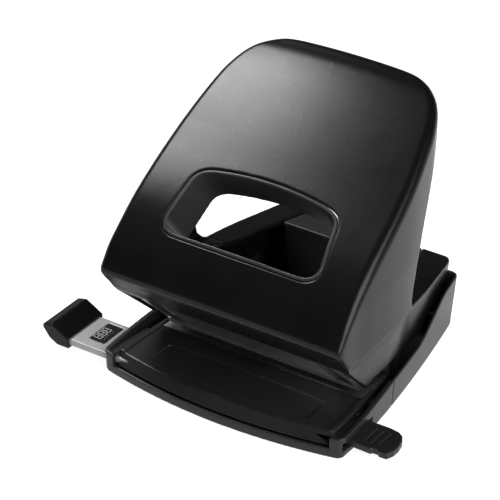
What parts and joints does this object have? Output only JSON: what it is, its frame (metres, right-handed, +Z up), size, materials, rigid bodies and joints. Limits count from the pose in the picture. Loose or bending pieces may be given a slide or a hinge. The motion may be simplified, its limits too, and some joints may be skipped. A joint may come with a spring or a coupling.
{
  "type": "two-hole punch",
  "caption": "Black two-hole office punch with a tall shell lever with a finger window, a sliding format bar and a hinged chip tray.",
  "frame": {"origin": "centre of the underside of the anti-slip mat, on the desk", "axes": "+Z up, +X along the two holes towards the format bar's tab, +Y away from the paper edge towards the back of the chip tray"},
  "size_m": [0.1635, 0.1181, 0.1197],
  "materials": {
    "lever": "satin, fine grain",
    "base": "matt, fine grain",
    "deep_black": "matt",
    "rail": "satin",
    "label": "gloss",
    "steel": "brushed",
    "zinc": "zinc plated",
    "rubber": "matt"
  },
  "bodies": {
    "base": {"base_shell": "base", "paper_table": "base", "die_plate": "steel", "stripper_plate": "steel", "paper_stop": "deep_black", "chassis_plate": "steel", "punch_frame_left": "steel", "punch_frame_right": "steel", "frame_screw_1": "zinc", "frame_screw_2": "zinc", "frame_screw_3": "zinc", "frame_screw_4": "zinc", "rear_block": "base", "pivot_axle": "steel", "axle_ring_left": "zinc", "axle_ring_right": "zinc", "detent_leaf": "steel", "tray_pin_left": "steel", "tray_pin_right": "steel", "front_foot_left": "rubber", "front_foot_right": "rubber", "return_spring_left": "zinc", "return_spring_right": "zinc"},
    "lever": {"lever_shell": "lever", "window_tube": "lever", "press_bar": "steel"},
    "pin_left": {"punch_pin_left": "steel", "pin_collar_left": "zinc"},
    "pin_right": {"punch_pin_right": "steel", "pin_collar_right": "zinc"},
    "format_bar": {"format_rail": "rail", "format_label": "label", "format_stop": "base", "format_tab": "base"},
    "tray": {"chip_tray": "base", "rear_foot_left": "rubber", "rear_foot_right": "rubber", "underside_mat": "rubber"}
  },
  "joints": [
    {"name": "lever_pivot", "type": "hinge", "parent": "base", "child": "lever", "pos_m": [0, -0.0385, 0.0375], "axis": [-1, 0, 0], "range_deg": [0, 8], "stiffness_Nm_per_rad": 4, "springref_deg": -6.88},
    {"name": "pin_left_slide", "type": "slide", "parent": "base", "child": "pin_left", "axis": [0, 0, -1], "range_m": [0, 0.0036], "deforming": ["return_spring_left"]},
    {"name": "pin_right_slide", "type": "slide", "parent": "base", "child": "pin_right", "axis": [0, 0, -1], "range_m": [0, 0.0036], "deforming": ["return_spring_right"]},
    {"name": "format_bar_slide", "type": "slide", "parent": "base", "child": "format_bar", "axis": [-1, 0, 0], "range_m": [-0.0105, 0.1]},
    {"name": "chip_tray_hinge", "type": "hinge", "parent": "base", "child": "tray", "pos_m": [0, -0.025, 0.0032], "axis": [-1, 0, 0], "range_deg": [0, 50]}
  ],
  "couplings": [
    {"joint": "pin_left_slide", "follows": "lever_pivot", "m_per_rad": 0.0238},
    {"joint": "pin_right_slide", "follows": "lever_pivot", "m_per_rad": 0.0238}
  ]
}
